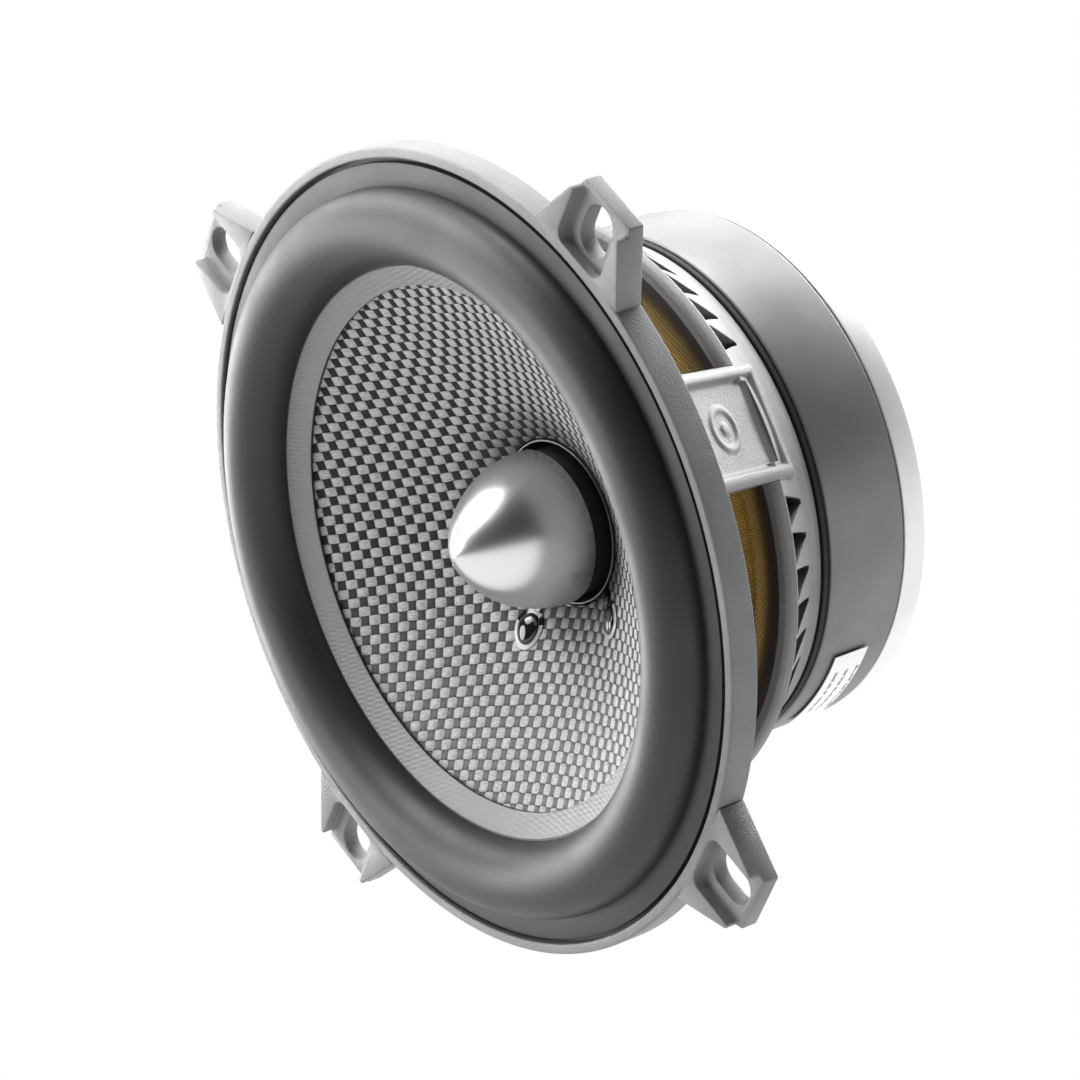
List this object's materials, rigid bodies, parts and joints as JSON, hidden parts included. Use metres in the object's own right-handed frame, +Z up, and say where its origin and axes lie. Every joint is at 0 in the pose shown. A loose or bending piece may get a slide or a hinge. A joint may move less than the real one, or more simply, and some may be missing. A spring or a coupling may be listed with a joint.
{
  "type": "car loudspeaker driver",
  "caption": "Round car loudspeaker driver with a woven cone, rubber half-roll surround, fixed bullet plug, slotted ears, spoked cast basket and ring magnet motor.",
  "frame": {"origin": "on the driver's axis, in the mounting plane, which is the flat rear face of the flange", "axes": "+Y along the driver's axis towards the magnet, so the cone faces -Y; +Z up; +X to the right as seen from the front"},
  "size_m": [0.13, 0.0654, 0.13],
  "materials": {
    "basket_paint": "cast and coated, satin, lightly grained",
    "surround_rubber": "smooth butyl rubber, satin",
    "spider_cloth": "resin-dipped amber cloth, woven and corrugated",
    "black_steel": "black oxide, satin",
    "magnet_coat": "smooth grey coat over ferrite",
    "zinc_steel": "bright zinc plate",
    "polished_plug": "polished",
    "spacer_black": "satin",
    "phenolic_board": "paper laminate",
    "tinned_brass": "tinned",
    "tinsel_braid": "fine braid",
    "label_paper": null,
    "cone_cloth": "woven glass fibre in clear resin, glossy",
    "former_foil": "thin foil",
    "copper_wire": "enamelled copper wire",
    "black_glue": "glossy dried adhesive",
    "solder": "solder"
  },
  "bodies": {
    "driver_frame": {"basket": "basket_paint", "surround": "surround_rubber", "spider": "spider_cloth", "top_plate": "black_steel", "magnet": "magnet_coat", "back_plate": "zinc_steel", "pole_piece": "zinc_steel", "phase_plug": "polished_plug", "plug_spacer": "spacer_black", "plug_bolt": "zinc_steel", "motor_screw_1": "zinc_steel", "motor_screw_2": "zinc_steel", "motor_screw_3": "zinc_steel", "motor_screw_4": "zinc_steel", "terminal_board": "phenolic_board", "terminal_rivet_1": "zinc_steel", "terminal_rivet_2": "zinc_steel", "positive_tab": "tinned_brass", "negative_tab": "tinned_brass", "tinsel_lead_positive": "tinsel_braid", "tinsel_lead_negative": "tinsel_braid", "magnet_label": "label_paper"},
    "cone_assembly": {"cone": "cone_cloth", "voice_coil_former": "former_foil", "voice_coil_winding": "copper_wire", "neck_glue_ring": "black_glue", "coil_lead_positive": "copper_wire", "coil_lead_negative": "copper_wire", "glue_drop_positive": "black_glue", "glue_drop_negative": "black_glue", "lead_eyelet_positive": "solder", "lead_eyelet_negative": "solder"}
  },
  "joints": [
    {"name": "cone_travel", "type": "slide", "parent": "driver_frame", "child": "cone_assembly", "axis": [0, -1, 0], "range_m": [-0.005, 0.005], "stiffness_N_per_m": 1200, "deforming": ["surround", "spider", "tinsel_lead_positive", "tinsel_lead_negative"]}
  ]
}
